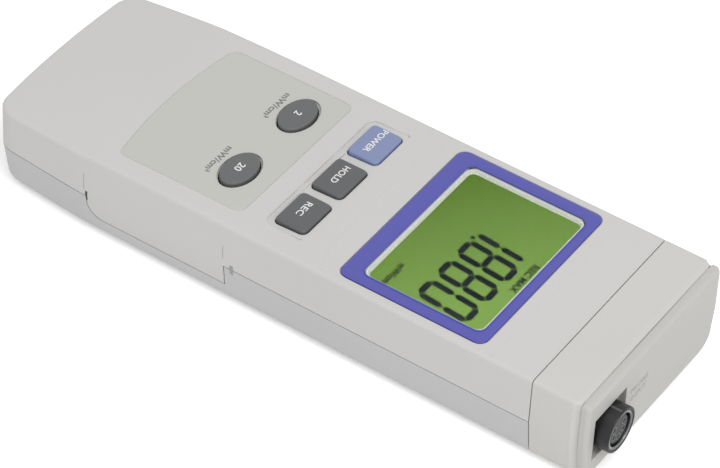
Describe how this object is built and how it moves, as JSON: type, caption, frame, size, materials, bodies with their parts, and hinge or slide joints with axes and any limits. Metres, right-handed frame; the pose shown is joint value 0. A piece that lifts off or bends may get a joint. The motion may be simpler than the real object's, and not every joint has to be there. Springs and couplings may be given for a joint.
{
  "type": "handheld light meter",
  "caption": "Handheld light meter with a grey two-part case, blue framed display, function and range keys, tilt stand, battery cover and a round probe socket at one end.",
  "frame": {"origin": "under the middle of the whole meter, on the plane its back lies on", "axes": "+X to the right of someone reading the display, +Y from the grip end to the probe end, +Z out of the face"},
  "size_m": [0.0684, 0.2058, 0.031],
  "materials": {
    "case_plastic": "fine satin moulded ABS, warm light grey",
    "back_plastic": "satin moulded ABS, cooler light grey",
    "label_film": "matt printed film, grey-green",
    "bezel_blue": "satin violet-blue",
    "window_clear": "clear polished sheet",
    "display_green": "smooth lit display glass",
    "white_plastic": "plain moulded white",
    "key_dark": "satin moulded dark grey",
    "key_blue": "satin moulded pale blue",
    "rubber_black": "matt black",
    "foam_grey": "open foam pad",
    "board_green": "lacquered circuit board",
    "black_plastic": "satin black moulding",
    "steel": "zinc plated screws",
    "shield_metal": "bright plated ring",
    "contact_brass": "plated contacts",
    "battery_wrap": "plain dark printed can"
  },
  "bodies": {
    "root": {"front_shell": "case_plastic", "end_cap": "case_plastic", "end_plate": "case_plastic", "back_shell": "back_plastic", "label_panel": "label_film", "display_bezel": "bezel_blue", "display_window": "window_clear", "lcd_glass": "display_green", "lcd_frame": "white_plastic", "backlight_plate": "white_plastic", "key_mat": "rubber_black", "contact_strip_lower": "rubber_black", "contact_strip_upper": "rubber_black", "battery_snap": "rubber_black", "battery_lead_left": "rubber_black", "battery_lead_right": "rubber_black", "main_board": "board_green", "socket_board": "board_green", "processor": "black_plastic", "amplifier_left": "black_plastic", "amplifier_right": "black_plastic", "probe_socket": "black_plastic", "socket_insert": "black_plastic", "case_screw_1": "steel", "case_screw_2": "steel", "case_screw_3": "steel", "case_screw_4": "steel", "board_screw_1": "steel", "board_screw_2": "steel", "board_screw_3": "steel", "board_screw_4": "steel", "battery_stud_left": "steel", "battery_stud_right": "steel", "socket_shield": "shield_metal", "socket_contact_1": "contact_brass", "socket_contact_2": "contact_brass", "socket_contact_3": "contact_brass", "socket_contact_4": "contact_brass", "socket_contact_5": "contact_brass", "battery": "battery_wrap"},
    "power_key": {"power_key": "key_blue"},
    "hold_key": {"hold_key": "key_dark"},
    "record_key": {"record_key": "key_dark"},
    "range_2_key": {"range_2_key": "key_dark"},
    "range_20_key": {"range_20_key": "key_dark"},
    "battery_cover": {"battery_cover": "back_plastic", "battery_pad": "foam_grey", "cover_screw": "steel"},
    "tilt_stand": {"tilt_stand": "back_plastic"}
  },
  "joints": [
    {"name": "power_press", "type": "slide", "parent": "root", "child": "power_key", "axis": [0, 0, -1], "range_m": [0, 0.0008], "stiffness_N_per_m": 1200},
    {"name": "hold_press", "type": "slide", "parent": "root", "child": "hold_key", "axis": [0, 0, -1], "range_m": [0, 0.0008], "stiffness_N_per_m": 1200},
    {"name": "record_press", "type": "slide", "parent": "root", "child": "record_key", "axis": [0, 0, -1], "range_m": [0, 0.0008], "stiffness_N_per_m": 1200},
    {"name": "range_2_press", "type": "slide", "parent": "root", "child": "range_2_key", "axis": [0, 0, -1], "range_m": [0, 0.0008], "stiffness_N_per_m": 1200},
    {"name": "range_20_press", "type": "slide", "parent": "root", "child": "range_20_key", "axis": [0, 0, -1], "range_m": [0, 0.0008], "stiffness_N_per_m": 1200},
    {"name": "cover_lift", "type": "slide", "parent": "root", "child": "battery_cover", "axis": [0, 0, -1], "range_m": [0, 0.03]},
    {"name": "stand_swing", "type": "hinge", "parent": "root", "child": "tilt_stand", "pos_m": [0, 0.0492, 0.0019], "axis": [1, 0, 0], "range_deg": [0, 60]}
  ]
}
